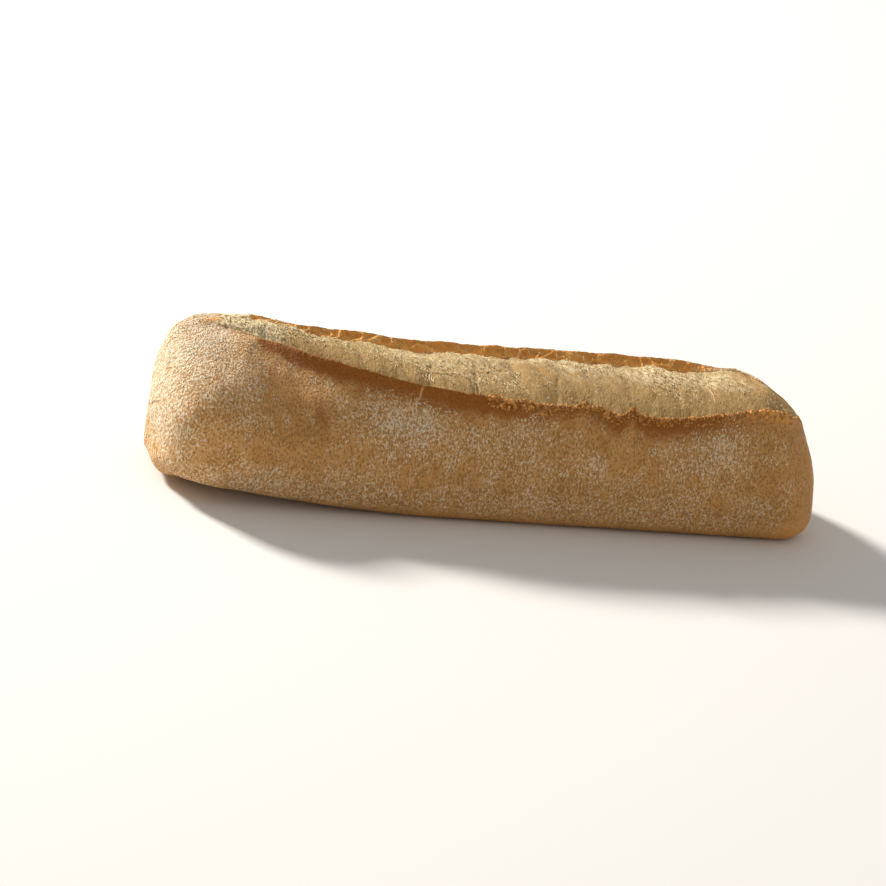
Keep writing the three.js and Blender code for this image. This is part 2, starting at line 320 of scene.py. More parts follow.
bare_rim = np.maximum(1 - smooth(along_stretch("back_rim"), *BACK_CRUST), (1 - crusted)[:, rim])
torn = on("crumb", 1) + on("ear_rim", smooth(along_stretch("ear_rim"), *EAR_CRUST))
torn += on("back_rim", bare_rim) + on("back", bare_back)

# A scrap of crust is left at the tear's left end, and the right end of the crumb browns where it leans over
FLAP_X, FLAP_Y, FLAP_LONG, FLAP_WIDE = -105.5, 13.2, 4.5, 1.7
FLAP_SLANT, FLAP_THICK, FLAP_ABOVE = 0.4, 0.3, 45
FAR_SIDE, LEANS_OVER, FAR_END = (0.37, 0.87, -0.34), (-0.42, -0.16), (90, 108)
off_flap = Y - FLAP_Y - FLAP_SLANT * (X - FLAP_X)
flap = np.exp(-(((X - FLAP_X) / FLAP_LONG) ** 4) - (off_flap / FLAP_WIDE) ** 4) * (Z > FLAP_ABOVE)
browned_slope = smooth(facing @ FAR_SIDE, *LEANS_OVER) * smooth(X, *FAR_END) * open_here
browned_slope *= on("crumb", 1) + on("back_rim", 1)
torn *= open_here * (1 - flap) * (1 - browned_slope)

# Lumps and blisters of the baked dough, and the grain of the skin where flour has crusted on it. The left
# end has lower blisters and a stronger grain.
DOUGH_LUMPS, BLISTERS = [(34, 0.8, 21)], [(12, 0.4, 22), (4.5, 0.14, 23)]
PIMPLES, LEFT_PIMPLES, LEFT_PLAIN = [(2.0, 0.10, 24), (1.2, 0.12, 25)], (0.5, 1.5), 0.6
OFF_BASE, LEFT_FROM = (1, 8), (80, 106)
off_base = smooth(Z, *OFF_BASE)
left_end = smooth(-X, *LEFT_FROM)
baked_skin = off_base * (1 - torn)
relief = off_base * lumpy(DOUGH_LUMPS) + FLAP_THICK * flap
relief += baked_skin * (1 - LEFT_PLAIN * left_end) * lumpy(BLISTERS)
relief += baked_skin * mix(*LEFT_PIMPLES, left_end) * lumpy(PIMPLES)

# A soft fold in the skin runs from the ear's start down to the lower left corner of the front
FOLD_TOP, FOLD_FOOT, FOLD_BEND, FOLD_HEIGHT = (-90, 51), (-124, 14), 0.55, (0.35, 1.3)
FOLD_LEFT, FOLD_RIGHT = 15.0, (1.2, 14.0)
FOLD_GROWS, FOLD_WIDENS, FOLD_DIES, FOLD_FRONT = (0, 0.5), (0, 0.45), (0.6, 1), (0, 5)
down = np.clip((FOLD_TOP[1] - Z) / (FOLD_TOP[1] - FOLD_FOOT[1]), 0, 1)
off_fold = X - mix(FOLD_TOP[0], FOLD_FOOT[0], down**FOLD_BEND)
fold_width = np.where(off_fold < 0, FOLD_LEFT, mix(*FOLD_RIGHT, smooth(down, *FOLD_WIDENS)))
fold = mix(*FOLD_HEIGHT, smooth(down, *FOLD_GROWS)) * np.exp(-((off_fold / fold_width) ** 2))
relief += fold * (1 - smooth(Y, *FOLD_FRONT)) * (1 - smooth(down, *FOLD_DIES))

# The lower corner of the left end is full, and a bubble has burst above it: middle X, Y, Z, size, height
SWELLINGS = [
    (-125, -13, 10, 7.0, 1.0), (-123.3, -4, 7, 7.0, 0.9), (-125.5, 2, 13, 6.0, -0.5),
    (-103.6, -29.6, 33.1, 0.9, -0.7),
]
for *middle, size, height in SWELLINGS:
    relief += height * np.exp(-((grid - middle) ** 2).sum(-1) / size**2)

# The ear's lip: below the torn rim the crust is thick and broken into grains. Along X, how coarse it is.
LIP_ALONG = [
    (-128, 0), (-91, 0.1), (-60, 0.4), (-16, 0.5), (-8, 1), (30, 1), (48, 1), (62, 0.5), (85, 0.9),
    (128, 0.3),
]
LIP_TALL, LIP_HEIGHT, LIP_SUNK = (1.2, 4.5), 0.8, 0.3
LIP_GRAINS, GRAIN_EDGE = [(1.3, 1, 61), (0.7, 0.4, 62)], (-0.3, 0.5)
from_ear = np.zeros_like(X)
steps_up = np.linalg.norm(np.diff(grid[:, :where["ear_rim"][0] + 1], axis=1), axis=-1)
from_ear[:, :where["ear_rim"][0]] = np.cumsum(steps_up[:, ::-1], 1)[:, ::-1]
under_ear = np.zeros_like(X)
under_ear[:, :where["crumb"][0]] = 1
lip = under_ear * (1 - smooth(from_ear, *LIP_TALL)) * rail(LIP_ALONG)(x) * ear_open[:, None]
lip_grains = lip * smooth(lumpy(LIP_GRAINS), *GRAIN_EDGE)
relief += LIP_HEIGHT * (lip_grains - LIP_SUNK * lip)

# One crack runs down through the lip: along X, height Z
CRACK_TOP, CRACK_FOOT, CRACK_WIDE, CRACK_DEEP = (-36.7, 48.5), (-38.4, 41.5), 0.35, 0.5
CRACK_OPENS, CRACK_CLOSES = (-0.2, 0.1), (0.7, 1.1)
crack_down = (CRACK_TOP[1] - Z) / (CRACK_TOP[1] - CRACK_FOOT[1])
crack = under_ear * np.exp(-(((X - mix(CRACK_TOP[0], CRACK_FOOT[0], crack_down)) / CRACK_WIDE) ** 2))
crack *= smooth(crack_down, *CRACK_OPENS) * (1 - smooth(crack_down, *CRACK_CLOSES))
relief -= CRACK_DEEP * crack

# The crumb: it rolls over from its front to the back edge. It is stretched, satiny skin with fine wrinkles,
# and creases part the lobes that tore from each other: (front end, back end) in plan, half width, depth,
# and how many strands of crumb hang along it.
CREASES = [
    ((-40, -13), (-37, 4), 1.6, 0.5, 3),
    ((-32, -18), (-28, -1), 2.2, 1.1, 5),
    ((-25.5, -18), (-24, -8), 1.4, 0.5, 2),
    ((-15.6, -23), (-11, -3), 2.2, 1.2, 4),
    ((4.5, -12), (10, 17), 2.0, 1.1, 6),
    ((16.2, -20), (22.5, 0), 0.9, 0.6, 0),
    ((47, -14), (52, 2), 1.6, 0.5, 1),
    ((56, -15), (60, -2), 1.4, 0.5, 1),
    ((66.5, -15), (70, 1), 1.6, 0.6, 1),
    ((79.5, -15), (86, 14), 1.8, 0.6, 3),
]
CREASES_DEEPEN, CREASE_BLUNT, CREASE_WANDERS = 1.1, 0.15, 0.7
CREASE_OPENS, CREASE_CLOSES = (-0.15, 0.2), (0.8, 1.15)
SMOOTH_LOBE, LOBE_HEIGHT, LOBE_SMOOTH = (14, 1, 8, 14), 0.5, 0.6  # one lobe stands out: its oval in plan
BANKS = [(-8, 13, 14, 7, 1.3), (32, 14, 12, 6, 0.7), (68, 12, 12, 8, 0.7)]  # it stands higher at the back
LEFT_BANK_X, LEFT_BANK_LONG, LEFT_BANK_HEIGHT = -76, 14, 1.6  # on the left it slopes up to the back
LEFT_BANK_RISES, OVAL_EDGE = (0.05, 1), 4
WRINKLE_SLANT, WRINKLE_WANDERS = 0.25, 1.6  # wrinkles drift this far along X for each step back
WRINKLE_SIZE, WRINKLE_SHARP, WRINKLE_HEIGHT = (1.1, 2.4, 4), 4, 0.16
CRUMB_LUMPS, CRUMB_GRAIN = [((7, 14, 30), 0.7, 34), ((3, 7, 30), 0.35, 35)], [(0.9, 0.1, 36)]
wander = lumps(grid, (8, 8, 30), 31)


def crests(points, size, seed, sharp):
    """Thin crests from 0 to 1 with wide hollows between them."""
    return (1 - np.abs(lumps(points, size, seed))) ** sharp


def crease(front_end, back_end, wide, deep):
    """A sharp valley across the crumb in plan that dies away at both ends."""
    (x0, y0), (x1, y1) = front_end, back_end
    share = (Y - y0) / (y1 - y0)
    off = X - mix(x0, x1, share) + CREASE_WANDERS * wander
    valley = deep * np.exp(-np.hypot(off, CREASE_BLUNT) / wide)
    return valley * smooth(share, *CREASE_OPENS) * (1 - smooth(share, *CREASE_CLOSES))


pulled = grid + wander[..., None] * (WRINKLE_WANDERS, 0, 0) - Y[..., None] * (WRINKLE_SLANT, 0, 0)
on_lobe = patches([(*SMOOTH_LOBE, 1)], Y, OVAL_EDGE)
wrinkles = crests(pulled, WRINKLE_SIZE, 32, WRINKLE_SHARP) * (1 - LOBE_SMOOTH * on_lobe)
relief += torn * (lumpy(CRUMB_LUMPS) + WRINKLE_HEIGHT * wrinkles + lumpy(CRUMB_GRAIN))
relief += torn * (LOBE_HEIGHT * on_lobe + patches(BANKS, Y, OVAL_EDGE))
left_bank = smooth(across, *LEFT_BANK_RISES) * np.exp(-(((X - LEFT_BANK_X) / LEFT_BANK_LONG) ** 2))
relief += LEFT_BANK_HEIGHT * torn * left_bank * on("crumb", 1)
relief -= CREASES_DEEPEN * torn * sum(crease(*row[:4]) for row in CREASES)

# Shreds lie on the crumb in patches, and as a fringe along the back: middle in plan, half length and half
# width, how thickly they lie
SHRED_PATCHES = [
    (-96, 12, 14, 8, 1.0), (-72, 12, 12, 7, 0.5), (-50, 8, 14, 9, 0.25), (-15, -1, 21, 14, 0.8),
    (38, 13, 13, 7, 0.6), (65, 6, 6, 13, 0.8), (75, 5, 6, 14, 0.7), (93, 2, 6, 8, 0.4), (20, 17, 90, 4, 0.3),
]
SHREDS_UNEVEN, LOBE_BARE = [((4, 6, 20), 0.8, 37)], 0.8
SHAG_SIZE, SHAG_HEIGHT, SHAG_SUNK = (1.6, 3.5, 6), 0.4, 0.15
shaggy = np.clip(patches(SHRED_PATCHES, Y) * (1 + lumpy(SHREDS_UNEVEN)), 0, 1) * (1 - LOBE_BARE * on_lobe)
relief += torn * shaggy * (SHAG_HEIGHT * crests(pulled, SHAG_SIZE, 33, WRINKLE_SHARP) - SHAG_SUNK)

# The back edge: its inner face shows long bubbles torn open under the crust, with thin walls between them.
# Towards the right it is too low for them.
CELLS_ALONG = (-128, -40, 10, 128), (0, 13, 20, 45)  # along X, how many cells lie up to there
CELL_TALL, CELL_DEPTH, RIM_TALL, CELL_WALL, CELL_LAYER = 4.4, 1.1, 4.2, (0.05, 0.3), 0.5
CELL_SPAN, WALL_CRUMB, WALL_CRUMB_TO, RIGHT_BACK = (0.08, 0.92), 0.5, (0.5, 0.8), (80, 98)
CELL_UNEVEN, TIER_UNEVEN = [(5, 2.4, 41)], [((6, 9, 9), 1.6, 42)]
RIM_ROUGH = [(1.6, 0.3, 43), (0.8, 0.2, 44)]
up_rim = np.linspace(0, 1, STEPS["back_rim"])
cell_along = np.interp((X + lumpy(CELL_UNEVEN))[:, rim], *CELLS_ALONG)
cell_up = (up_rim * RIM_TALL + lumpy(TIER_UNEVEN)[:, rim]) / CELL_TALL
cell_place = np.stack([cell_along, cell_up, np.full_like(cell_up, CELL_LAYER)], -1)
nearest = np.array([noise.voronoi(p)[0][:2] for p in cell_place.reshape(-1, 3).tolist()])
in_cells = smooth((nearest[:, 1] - nearest[:, 0]).reshape(cell_up.shape), *CELL_WALL)
right_back = smooth(X, *RIGHT_BACK)
open_rim = on("back_rim", 1) * open_here
cells = on("back_rim", in_cells * np.sin(np.pi * mix(*CELL_SPAN, up_rim)))
cells *= open_here * crusted * (1 - right_back)
relief += open_rim * lumpy(RIM_ROUGH) - CELL_DEPTH * cells
wall_crumb = on("back_rim", WALL_CRUMB * (1 - in_cells) * (1 - smooth(up_rim, *WALL_CRUMB_TO)))
torn = np.maximum(torn, wall_crumb * open_here * (1 - browned_slope))

MIDDLE = np.array([-1.532, 0.099, 0.0])  # where the sections' own zero lies in the part's frame
loaf_points = grid + facing * relief[..., None] + MIDDLE
loaf_points[..., 2] = np.maximum(loaf_points[..., 2], 0)

# Toast is the deep brown of the skin: a band under the ear, the right end, and the top of the back edge.
# Along X, how deeply the band is browned; then single spots: along X, height Z, half sizes, depth. The last,
# wide spot right of the fold is painted shade, darkening the front where the lamp no longer reaches.
TOAST_ALONG = [
    (-128, 0), (-93, 0.0), (-91.5, 0.85), (-60, 1.0), (-10, 1), (12, 0.75), (45, 0.95), (70, 0.95),
    (95, 0.45), (128, 0.2),
]
TOAST_AND_SHADE_SPOTS = [(-72.5, 35, 3.2, 3.6, 0.5), (-60, 36.5, 2.4, 3, 0.3), (-80, 34, 16, 13, 0.14)]
BAND_TALL, BAND_UNEVEN = 5.6, [((16, 400, 400), 0.9, 51), (3, 1.2, 52)]
BAND_GROWS, BAND_GROWS_OVER, BAND_SOLID, BAND_ENDS = (0.7, 1.35), (-90, -50), 0.2, 1.6
RIGHT_TOAST, RIGHT_TOAST_OVER, RIM_TOAST, EAR_RIM_PALER, EAR_RIM_PALES = 0.22, (96, 122), 0.8, 0.6, (0.1, 0.5)
BACK_TOAST, BACK_TOAST_DOWN, BACK_TOAST_FROM = 0.75, (3, 9), (-90, -80)
TEAR_TOAST, TEAR_TOAST_WIDE, TEAR_TOAST_TO = 0.1, 4, -80
band = (BAND_TALL + lumpy(BAND_UNEVEN)) * mix(*BAND_GROWS, smooth(X, *BAND_GROWS_OVER))
below_edge = BACK_EDGE[0][2] - Z
back_top_skin = on("back", 1) * smooth(X, *BACK_TOAST_FROM)
toast = under_ear * (1 - smooth(from_ear, BAND_SOLID * band, BAND_ENDS * band)) * rail(TOAST_ALONG)(x)
toast += RIGHT_TOAST * smooth(X, *RIGHT_TOAST_OVER) * (1 - torn) - crack
toast += RIM_TOAST * (open_rim * right_back + browned_slope)
toast += BACK_TOAST * back_top_skin * (1 - smooth(below_edge, *BACK_TOAST_DOWN))
toast *= 1 - EAR_RIM_PALER * on("ear_rim", smooth(along_stretch("ear_rim"), *EAR_RIM_PALES))
edge_of_tear = on("crumb", 1) * np.exp(-(((X - tear_left) / TEAR_TOAST_WIDE) ** 2)) * (X < TEAR_TOAST_TO)
# Besides toast, the spots hold painted shade on the front right of the fold.
toast += TEAR_TOAST * edge_of_tear * (1 - torn) + patches(TOAST_AND_SHADE_SPOTS, Z) * (Y < 0)

# Golden is thin crust that browned lightly: the grains, the flap, the crack and the ear's right end. On the
# torn bubbles and the back rim, and among the shreds, it is painted glow for light shining through thin
# crust. On the lower front it is painted bounce light from the floor, and on the right end it is painted
# light.
RIM_GLOW, RIGHT_RIM_PALER, BACK_GOLD, BACK_GOLD_DOWN = 0.8, 0.8, 0.25, (2.5, 9)
LOW_BOUNCE_GOLD, LOW_BOUNCE_GOLD_TO, RIGHT_LIGHT_GOLD, RIGHT_GOLD_OVER = 0.3, (4, 16), 0.4, (96, 120)
EAR_GOLD, EAR_GOLD_TALL, EAR_GOLD_FROM, EAR_GOLD_TO = 0.4, (2, 7), (78, 96), (106, 114)
SHAG_GLOW, SHAG_GLOW_FROM, FLAP_GOLD, GRAIN_GOLD, CRACK_GOLD = 0.25, -80, 0.8, 0.6, 0.7
GOLDEN_OVALS = [(*SMOOTH_LOBE, 0.1), (19, 3, 4, 6, 0.2)]  # on the crumb, in plan
# Painted glow: the bubbles and the back rim are golden for light that shines through the thin crust.
golden = cells + RIM_GLOW * open_rim * crusted * (1 - RIGHT_RIM_PALER * right_back)
golden += BACK_GOLD * back_top_skin * (1 - smooth(below_edge, *BACK_GOLD_DOWN))
# Painted bounce light: the foot of the front is golden as if lit from the floor.
golden += LOW_BOUNCE_GOLD * (1 - smooth(Z, *LOW_BOUNCE_GOLD_TO)) * (Y < 0)
# Painted light: the skin of the right end is golden for the light it catches there.
golden += RIGHT_LIGHT_GOLD * smooth(X, *RIGHT_GOLD_OVER) * (1 - torn)
ear_gold = smooth(X, *EAR_GOLD_FROM) * (1 - smooth(X, *EAR_GOLD_TO))
golden += EAR_GOLD * under_ear * (1 - smooth(from_ear, *EAR_GOLD_TALL)) * ear_gold
# Painted glow: the ground among the shreds is golden, for light in their shade.
golden += torn * (SHAG_GLOW * shaggy * (X > SHAG_GLOW_FROM) + patches(GOLDEN_OVALS, Y, OVAL_EDGE))
golden += FLAP_GOLD * flap + GRAIN_GOLD * lip_grains + CRACK_GOLD * crack

# Pale is the whitest crumb: on the crest behind, on the walls of the bubbles and in ovals in plan. At the
# tear's left end it is painted light: the crumb there is whitened as if the lamp lit it. Darker straw is
# painted shade on the crumb: crumb that faces up is darkened for the light that falls on it from above, but
# not where it falls away behind, and ovals in plan are darkened too.
PALE_OVALS = [(66, 8, 12, 8, 0.75), (30, 14, 18, 5, 0.6), (92, 4, 10, 9, 0.5)]
SHADE_OVALS = [(-60, -2, 14, 16, 0.6), (*SMOOTH_LOBE, 0.6), (92, 2, 12, 14, 0.35)]
PALE_THREADS, PALE_BASE, PALE_LEFT_LIT, PALE_LEFT_FROM = [((1.6, 4, 20), 1, 38)], 0.4, 0.9, (78, 92)
PALE_CREST, CREST_ACROSS, CREST_FROM, PALE_WALLS = 0.45, (0.5, 0.8), (-45, -30), 0.5
SHADE_UP, SHADE_EASES_BEHIND, LESS_SHADE_BEHIND = (0.72, 1.0), (0.0, 0.2), 0.8
crest = smooth(across, *CREST_ACROSS) * smooth(X, *CREST_FROM) * (1 - on_lobe)
pale_patches = patches(PALE_OVALS, Y, OVAL_EDGE) + PALE_CREST * crest
pale_patches *= np.clip(PALE_BASE + lumpy(PALE_THREADS), 0, 1)
# Painted light: the crumb at the tear's left end is whitened as if lit.
pale = torn * (PALE_LEFT_LIT * smooth(-X, *PALE_LEFT_FROM) + pale_patches + PALE_WALLS * on("back_rim", 1))
# Painted shade: crumb that faces up is darkened for the light that falls on it from above.
crumb_shade = smooth(facing[..., 2], *SHADE_UP) * (1 - LESS_SHADE_BEHIND * smooth(facing[..., 1], *SHADE_EASES_BEHIND))
crumb_shade += patches(SHADE_OVALS, Y, OVAL_EDGE)

# Flour lies thick on the left end and in patches on the front: along X, height Z, half sizes, how thick.
# On the left end, up to the fold, and at its tip it is partly painted light, whitening the end the lamp
# strikes. The last patch, along the foot of the front, is painted bounce light from the floor.
FLOUR_PATCHES = [
    (-43, 36, 15, 8, 0.5), (-10, 30, 16, 8, 0.15), (6, 38, 8, 4, 0.3), (31, 26, 5, 4, 0.3),
    (78, 35, 14, 9, 0.3), (-90, 8, 26, 7, 0.35), (-104, 45, 11, 9, 0.35), (-127, 20, 6, 14, 0.4),
    (20, 6, 120, 11, 0.18),
]
FLOUR_AND_LIGHT_LEFT, FLOUR_LEFT_TO, FLOUR_AND_LIGHT_TIP, FLOUR_TIP_FROM, FLOUR_TIP_UP = 0.55, (-20, 0), 0.2, (112, 124), (14, 24)
FLOUR_BACK, FLOUR_BACK_FROM, FLOUR_ALL_OVER, FLOUR_BURNT_OFF = 0.1, (10, 24), 0.04, 0.9
FLOUR_UNEVEN = [(9, 0.09, 53), ((3.5, 3.5, 5), 0.14, 54)]
# Partly painted light: flour whitens the left end up to the fold and its tip, where the lamp strikes.
flour = FLOUR_AND_LIGHT_LEFT * (1 - smooth(off_fold, *FLOUR_LEFT_TO)) + patches(FLOUR_PATCHES, Z)
flour += FLOUR_AND_LIGHT_TIP * smooth(-X, *FLOUR_TIP_FROM) * smooth(Z, *FLOUR_TIP_UP)
flour += FLOUR_BACK * smooth(Y, *FLOUR_BACK_FROM) + lumpy(FLOUR_UNEVEN) + FLOUR_ALL_OVER
flour = np.clip(flour, 0, 1) * np.clip(1 - FLOUR_BURNT_OFF * toast, 0, 1)
flour *= (1 - np.clip(golden, 0, 1)) * off_base

MM = 0.001


def meshed(name, points, faces, rounded_off=True):
    """A mesh object from points in mm, shaded smooth or in flat facets."""
    mesh = bpy.data.meshes.new(name)
    mesh.from_pydata((points * MM).tolist(), [], faces)
    if rounded_off:
        mesh.shade_smooth()
    piece = bpy.data.objects.new(name, mesh)
    bpy.context.collection.objects.link(piece)
    return piece


def paint(piece, **fields):
    """Gives each point of a piece a share from 0 to 1 of the finishes that are named."""
    for name, field in fields.items():
        layer = piece.data.attributes.new(name, "FLOAT", "POINT")
        layer.data.foreach_set("value", np.clip(field, 0, 1).ravel().astype(np.float32))


def closed_skin(points):
    """Faces over rows of points, closed by one point at each end: all the points, then the faces."""
    rows, around = points.shape[:2]
    ids = np.arange(rows * around).reshape(rows, around)
    a, b = ids[:-1], ids[1:]
    quads = np.stack([a, b, np.roll(b, -1, 1), np.roll(a, -1, 1)], -1).reshape(-1, 4).tolist()
    first, last = ids[0], ids[-1]
    fans = [[rows * around, *edge] for edge in zip(first.tolist(), np.roll(first, -1).tolist())]
    fans += [[rows * around + 1, *edge] for edge in zip(np.roll(last, -1).tolist(), last.tolist())]
    return np.concatenate([points.reshape(-1, 3), points[[0, -1]].mean(1)]), quads + fans


shares = dict(torn=torn, toast=toast, golden=golden, flour=flour, pale=pale, crumb_shade=crumb_shade)
loaf = meshed("loaf_baked", *closed_skin(loaf_points))
paint(loaf, **{name: np.append(field, (0, 0)) for name, field in shares.items()})

# Oven-baked wheat bread: a matt, floury tan skin that browns along its torn rims, and pale straw crumb
# with a silky grain. The eye sees it as dry: the skin has a faint sheen under its grain, the crumb less.
# Some colours paint light and shade: the pit and hollow browns, the crumb's darker straw, and golden's glow.
CRUST_TAN, CRUST_GOLD, CRUST_PIT_SHADE, TOASTED, GOLDEN_AND_GLOW = "#D09A59", "#DEA663", "#8C602F", "#A46324", "#FBB560"
FLOUR, CRUMB_CREAM, CRUMB_STRAW = "#F8E9CC", "#D3BD89", "#BA9F69"
CRUMB_SHADE_STRAW, CRUMB_HOLLOW_SHADE, CRUMB_WHITE = "#A98957", "#927142", "#F3E2BC"
BREAD_IOR, BREAD_SPECULAR, CRUST_ROUGHNESS, CRUMB_ROUGHNESS = 1.45, 0.2, 0.55, 0.75
SKIN_BUMP, CRUMB_BUMP = 1.5, 0.6  # mm
# The crumb's threads are drawn out across the roll, and the skin's grain a little upright
DRAWN_ACROSS, DRAWN_UP = (1, 0.28, 0.32), (1, 0.7, 0.6)


def linear(colour):
    """An sRGB hex colour as linear red, green, blue and alpha."""
    channels = [int(colour[i:i + 2], 16) / 255 for i in (1, 3, 5)]
    return [c / 12.92 if c <= 0.04045 else ((c + 0.055) / 1.055) ** 2.4 for c in channels] + [1.0]


bread = bpy.data.materials.new("Oven-baked wheat crust and crumb")
bread.use_nodes = True
tree = bread.node_tree
shader = tree.nodes["Principled BSDF"]
shader.inputs["IOR"].default_value = BREAD_IOR
shader.inputs["Specular IOR Level"].default_value = BREAD_SPECULAR


def add_node(kind, sockets, output=0, **settings):
    """Adds a node with its settings, gives each input a value or a link, and returns one of its outputs."""
    node = tree.nodes.new(kind)
    for name, value in settings.items():
        setattr(node, name, value)
    for name, value in sockets.items():
        if isinstance(value, bpy.types.NodeSocket):
            tree.links.new(value, node.inputs[name])
        else:
            node.inputs[name].default_value = value
    return node.outputs[output]


painted = {name: add_node("ShaderNodeAttribute", {}, "Fac", attribute_name=name) for name in shares}
evenly = add_node("ShaderNodeTexCoord", {}, "Object")
across_roll, upright = (
    add_node("ShaderNodeMapping", {"Vector": evenly, "Scale": scale}) for scale in (DRAWN_ACROSS, DRAWN_UP))

# Grains: how they are drawn, size in mm, octaves and how rough those are. Flour is far finer than 0.4 mm,
# but its flecks are drawn that coarse so that they show.
GRAINS = dict(
    tan=(evenly, 11, 4, 0.6), skin=(upright, 0.7, 2, 0.55), fine=(upright, 0.42, 2, 0.55),
    browning=(evenly, 1.4, 4, 0.65), haze=(evenly, 4, 3, 0.6), fleck=(evenly, 0.4, 1, 0.5),
    clump=(evenly, 1.2, 1, 0.5), straw=(evenly, 6, 4, 0.6), thread=(across_roll, 0.5, 3, 0.65),
    pore=(upright, 0.6, 2, 0.6),
)
grain = {}
for name, (drawn, size, octaves, roughness) in GRAINS.items():
    grain[name] = add_node("ShaderNodeTexNoise", {
        "Vector": drawn, "Scale": 1 / (size * MM), "Detail": octaves, "Roughness": roughness})

# Sums of grains and shares: the first times the second, plus the third
FINE_SHARE, PORE_SHARE, BROWNING_SPREAD = 0.5, 0.6, 0.7
FLECK_SHARE, CLUMP_SHARE, CLUMP_LEAST = 0.8, 0.8, -0.168
sums = {}
for name, *terms in (
        ("skin_height", grain["fine"], FINE_SHARE, grain["skin"]),
        ("crumb_height", grain["pore"], PORE_SHARE, grain["thread"]),
        ("browning", grain["browning"], BROWNING_SPREAD, -BROWNING_SPREAD / 2),
        ("toast", painted["toast"], 1, "browning"),
        ("golden", painted["golden"], 1, "browning"),
        ("flecks", grain["fleck"], FLECK_SHARE, "skin_height"),
        ("clumps", grain["clump"], CLUMP_SHARE, CLUMP_LEAST),
        ("dusting", painted["flour"], "clumps", "flecks"),
        ("baked", painted["torn"], -1, 1)):
    terms = [sums[term] if isinstance(term, str) else term for term in terms]
    sums[name] = add_node("ShaderNodeMath", dict(enumerate(terms)), operation="MULTIPLY_ADD")

# Marks: each shows as a value passes from low to high, and its share goes from the least to the most
MARKS = dict(
    gold=(grain["tan"], 0.35, 0.65, 0, 1), pit_shade=(sums["skin_height"], 0.74, 0.62, 0, 0.55),
    toast=(sums["toast"], 0.05, 0.95, 0, 1), golden=(sums["golden"], 0.1, 1.0, 0, 1),
    haze=(grain["haze"], 0.35, 0.65, 0.1, 0.35), film=(painted["flour"], 0.3, 0.9, 0, 0.12),
    dusty=(painted["flour"], 0.0, 0.12, 0, 0.85), flecks=(sums["dusting"], 1.29, 1.33, 0, 1),
    straw=(grain["straw"], 0.35, 0.7, 0, 1), threads=(grain["thread"], 0.52, 0.36, 0, 0.5),
    pores=(grain["pore"], 0.4, 0.3, 0, 0.6),
)
mark = {}
for name, (value, low, high, least, most) in MARKS.items():
    mark[name] = add_node("ShaderNodeMapRange", {
        "Value": value, "From Min": low, "From Max": high, "To Min": least, "To Max": most,
    }, interpolation_type="SMOOTHSTEP")
flour_haze = add_node(
    "ShaderNodeMath", {0: mark["haze"], 1: painted["flour"], 2: mark["film"]}, operation="MULTIPLY_ADD")
flour_flecks = add_node("ShaderNodeMath", {0: mark["flecks"], 1: mark["dusty"]}, operation="MULTIPLY")

# Colours are laid one over another, on the skin and on the crumb, each by its share. The pit and hollow
# colours are painted shade in the low places of the skin's grain and of the crumb's threads and pores.
skin, crumb = linear(CRUST_TAN), linear(CRUMB_CREAM)
for share, colour in (
        (mark["gold"], CRUST_GOLD), (mark["pit_shade"], CRUST_PIT_SHADE), (mark["toast"], TOASTED),
        (mark["golden"], GOLDEN_AND_GLOW), (flour_haze, FLOUR), (flour_flecks, FLOUR)):
    skin = add_node("ShaderNodeMix", {0: share, 6: skin, 7: linear(colour)}, 2, data_type="RGBA")
for share, colour in (
        (mark["straw"], CRUMB_STRAW), (painted["crumb_shade"], CRUMB_SHADE_STRAW), (mark["threads"], CRUMB_HOLLOW_SHADE),
        (mark["pores"], CRUMB_HOLLOW_SHADE), (painted["pale"], CRUMB_WHITE), (mark["golden"], GOLDEN_AND_GLOW)):
    crumb = add_node("ShaderNodeMix", {0: share, 6: crumb, 7: linear(colour)}, 2, data_type="RGBA")
bread_colour = add_node("ShaderNodeMix", {0: painted["torn"], 6: skin, 7: crumb}, 2, data_type="RGBA")
skin_bump = add_node("ShaderNodeBump", {
    "Height": sums["skin_height"], "Strength": sums["baked"], "Distance": SKIN_BUMP * MM})
bread_bump = add_node("ShaderNodeBump", {
    "Height": sums["crumb_height"], "Strength": painted["torn"], "Distance": CRUMB_BUMP * MM,
    "Normal": skin_bump})
dryness = add_node("ShaderNodeMapRange", {
    "Value": painted["torn"], "To Min": CRUST_ROUGHNESS, "To Max": CRUMB_ROUGHNESS})
for socket, source in (("Base Color", bread_colour), ("Normal", bread_bump), ("Roughness", dryness)):
    tree.links.new(source, shader.inputs[socket])
loaf.data.materials.append(bread)
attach(loaf, "root")
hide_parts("loaf")


# Shreds of crumb: threads and curls of gluten that tore as the slash opened, baked dry where they stand.
# They lie over the crumb, mostly across the roll, and longer strands run along the folds.

SHRED_COUNT, FUZZ_COUNT, SHRED_STEPS, SHRED_SIDES = 4200, 1500, 5, 3
SHRED_LENGTH, SHRED_LIFT, SHRED_WIDTH = (1.6, 4.4), (0.06, 0.35), (0.06, 0.19)
FUZZ_LENGTH, FUZZ_LIFT, FUZZ_WIDTH, FUZZ_FROM = (0.8, 2.0), (0.03, 0.2), (0.06, 0.12), (-36, -26)
SHRED_TURN, SHRED_CURL, SHRED_WAVE, SHRED_SUNK, SHRED_TAPER = (0.2, 0.3), 0.2, 0.22, 0.1, 0.7
STRAND_WIDTH, STRAND_BESIDE, STRAND_WANDERS, STRAND_CLEAR = (0.12, 0.28), (0.1, 0.9), 0.5, 0.1
SHRED_PALE, SHRED_GOLD, LEFT_PALE_LIT, LEFT_PALE_TO = (0.1, 1), (-0.5, 0.3), 0.95, -84
SHREDS_BEHIND, SHREDS_FROM, SHREDS_TO = (0.16, 0.32), -108, 112  # share across the crumb, and along X
LEFT_THICK, LEFT_THINS = (2.4, 1), (-90, -76)  # they lie thicker at the tear's left end
